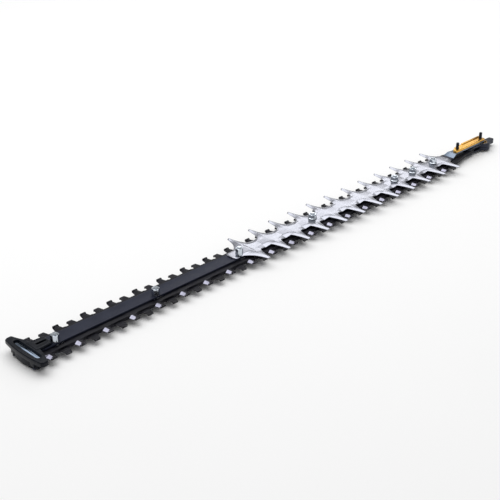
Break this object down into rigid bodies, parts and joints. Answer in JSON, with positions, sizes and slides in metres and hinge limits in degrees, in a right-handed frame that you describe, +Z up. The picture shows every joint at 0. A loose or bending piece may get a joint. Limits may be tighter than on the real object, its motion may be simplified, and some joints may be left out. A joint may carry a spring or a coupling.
{
  "type": "hedge trimmer cutter bar",
  "caption": "Double-sided hedge trimmer cutter bar: two sliding toothed blades, guide bar, nose guard, comb finger guard, rear mounting plate and drive rods.",
  "frame": {"origin": "bottom centre of the bounding box, on the surface that the cutter bar lies on", "axes": "+X along the bar from the nose guard to the drive end, +Y across the teeth, +Z up from the lower blade to the guide bar"},
  "size_m": [0.9096, 0.0746, 0.0304],
  "materials": {
    "blade_steel": "matte black with ground silver tooth flanks",
    "bar_paint": "satin slate-black paint",
    "comb_silver": "satin silver pressed sheet",
    "guard_casting": "semi-gloss near-black",
    "guard_insert": "smooth pale steel blue",
    "bright_zinc": "bright zinc plate",
    "yellow_zinc": "yellow-passivated zinc plate",
    "black_steel": "blackened steel",
    "bush_bronze": "oiled bronze"
  },
  "bodies": {
    "bar_assembly": {"guide_bar": "bar_paint", "comb_guard": "comb_silver", "tip_guard_upper": "guard_casting", "tip_guard_lower": "guard_casting", "tip_guard_insert": "guard_insert", "tip_guard_screw_left": "black_steel", "tip_guard_screw_right": "black_steel", "bar_screw_1": "bright_zinc", "bar_screw_2": "bright_zinc", "bar_screw_3": "bright_zinc", "bar_screw_4": "bright_zinc", "bar_screw_5": "bright_zinc", "bar_screw_6": "bright_zinc", "bar_screw_7": "bright_zinc", "bar_nut_1": "bright_zinc", "bar_nut_2": "bright_zinc", "bar_nut_3": "bright_zinc", "bar_nut_4": "bright_zinc", "bar_nut_5": "bright_zinc", "bar_nut_6": "bright_zinc", "bar_nut_7": "bright_zinc", "guide_sleeve_1": "bright_zinc", "guide_sleeve_2": "bright_zinc", "guide_sleeve_3": "bright_zinc", "guide_sleeve_4": "bright_zinc", "guide_sleeve_5": "bright_zinc", "guide_sleeve_6": "bright_zinc", "guide_sleeve_7": "bright_zinc", "bar_washer_2": "bright_zinc", "bar_washer_3": "bright_zinc", "bar_washer_4": "bright_zinc", "bar_washer_5": "bright_zinc", "bar_washer_6": "bright_zinc", "bar_washer_7": "bright_zinc", "mount_plate": "yellow_zinc", "mount_stud_front": "black_steel", "mount_stud_rear": "black_steel"},
    "upper_blade_unit": {"upper_blade": "blade_steel", "upper_rod_pin": "bright_zinc"},
    "lower_blade_unit": {"lower_blade": "blade_steel", "lower_rod_pin": "bright_zinc"},
    "upper_rod_unit": {"upper_rod": "black_steel", "upper_rod_bush": "bush_bronze"},
    "lower_rod_unit": {"lower_rod": "black_steel", "lower_rod_bush": "bush_bronze"}
  },
  "joints": [
    {"name": "upper_blade_slide", "type": "slide", "parent": "bar_assembly", "child": "upper_blade_unit", "axis": [1, 0, 0], "range_m": [-0.0095, 0.0095]},
    {"name": "lower_blade_slide", "type": "slide", "parent": "bar_assembly", "child": "lower_blade_unit", "axis": [1, 0, 0], "range_m": [-0.0095, 0.0095]},
    {"name": "upper_rod_swing", "type": "hinge", "parent": "upper_blade_unit", "child": "upper_rod_unit", "pos_m": [0.38575, 0, 0.012], "axis": [0, 0, 1], "range_deg": [-14, 14]},
    {"name": "lower_rod_swing", "type": "hinge", "parent": "lower_blade_unit", "child": "lower_rod_unit", "pos_m": [0.38575, 0, 0.004], "axis": [0, 0, 1], "range_deg": [-14, 14]}
  ],
  "couplings": [
    {"joint": "lower_blade_slide", "follows": "upper_blade_slide", "ratio": -1}
  ]
}
